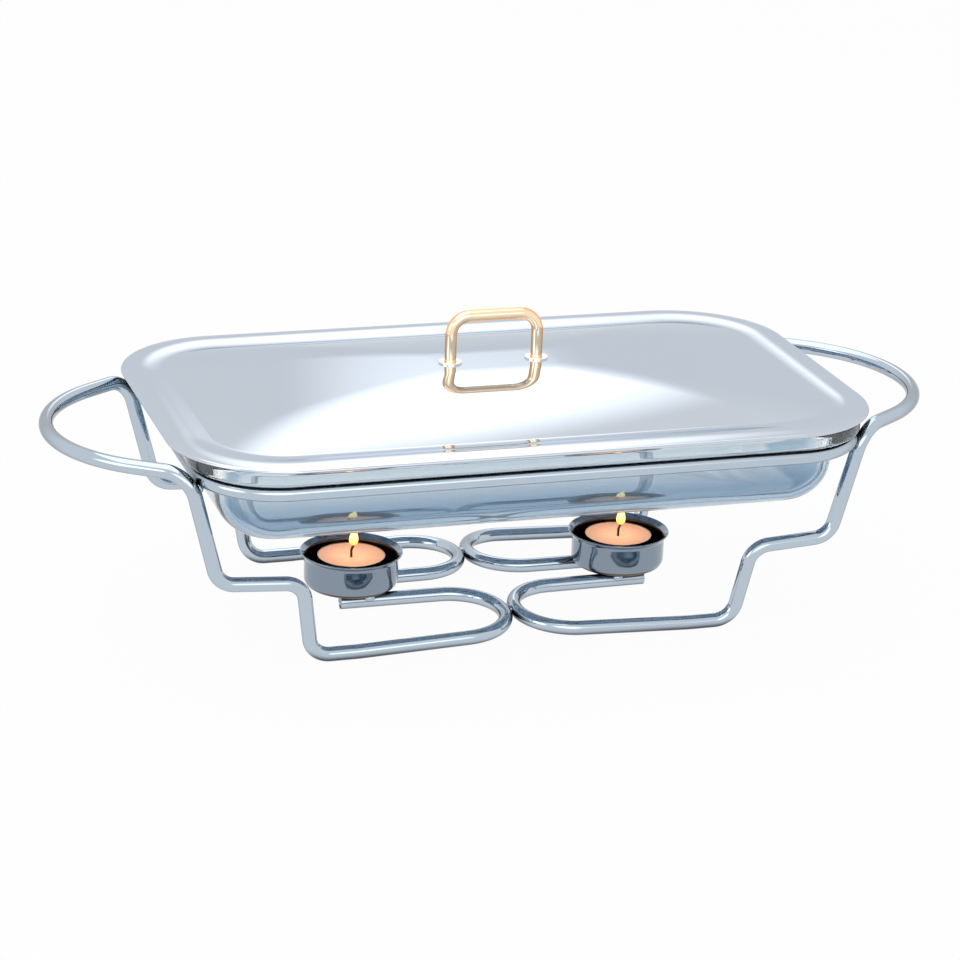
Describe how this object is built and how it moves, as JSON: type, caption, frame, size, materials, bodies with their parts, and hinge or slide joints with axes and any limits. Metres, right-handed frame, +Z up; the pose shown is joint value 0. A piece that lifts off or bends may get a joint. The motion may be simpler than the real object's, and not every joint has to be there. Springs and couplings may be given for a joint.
{
  "type": "chafing dish",
  "caption": "Rectangular glass chafing dish with a lift-off pressed metal lid, on a bent-rod stand with cups for tealight warmers.",
  "frame": {"origin": "middle of the object on the tabletop", "axes": "+X from the left side handle to the right one, +Y from the front to the back, +Z up"},
  "size_m": [0.5056, 0.239, 0.1695],
  "materials": {
    "stand_chrome": "polished",
    "cup_chrome": "polished",
    "weld_metal": "polished",
    "dish_glass": "clear",
    "lid_steel": "soft polish",
    "handle_brass": "polished",
    "fastener_steel": "plain",
    "can_aluminium": "bright",
    "wax": "soft sheen",
    "wick_cotton": "charred",
    "sustainer_tin": "plain"
  },
  "bodies": {
    "stand": {"left_end_frame": "stand_chrome", "right_end_frame": "stand_chrome", "rim_hoop": "stand_chrome", "left_candle_cup": "cup_chrome", "right_candle_cup": "cup_chrome", "hoop_welds": "weld_metal", "centre_welds": "weld_metal", "cup_welds": "weld_metal"},
    "dish": {"glass_dish": "dish_glass"},
    "lid": {"lid_shell": "lid_steel", "lid_handle": "handle_brass", "handle_collars": "handle_brass", "handle_washers": "fastener_steel", "handle_screws": "fastener_steel"},
    "left_tealight": {"left_tealight_can": "can_aluminium", "left_wax": "wax", "left_wick": "wick_cotton", "left_wick_sustainer": "sustainer_tin"},
    "right_tealight": {"right_tealight_can": "can_aluminium", "right_wax": "wax", "right_wick": "wick_cotton", "right_wick_sustainer": "sustainer_tin"}
  },
  "joints": [
    {"name": "dish_lift", "type": "slide", "parent": "stand", "child": "dish", "axis": [0, 0, 1], "range_m": [0, 0.12]},
    {"name": "lid_lift", "type": "slide", "parent": "dish", "child": "lid", "axis": [0, 0, 1], "range_m": [0, 0.12]},
    {"name": "left_tealight_lift", "type": "slide", "parent": "stand", "child": "left_tealight", "axis": [0, 0, 1], "range_m": [0, 0.022]},
    {"name": "right_tealight_lift", "type": "slide", "parent": "stand", "child": "right_tealight", "axis": [0, 0, 1], "range_m": [0, 0.022]}
  ]
}
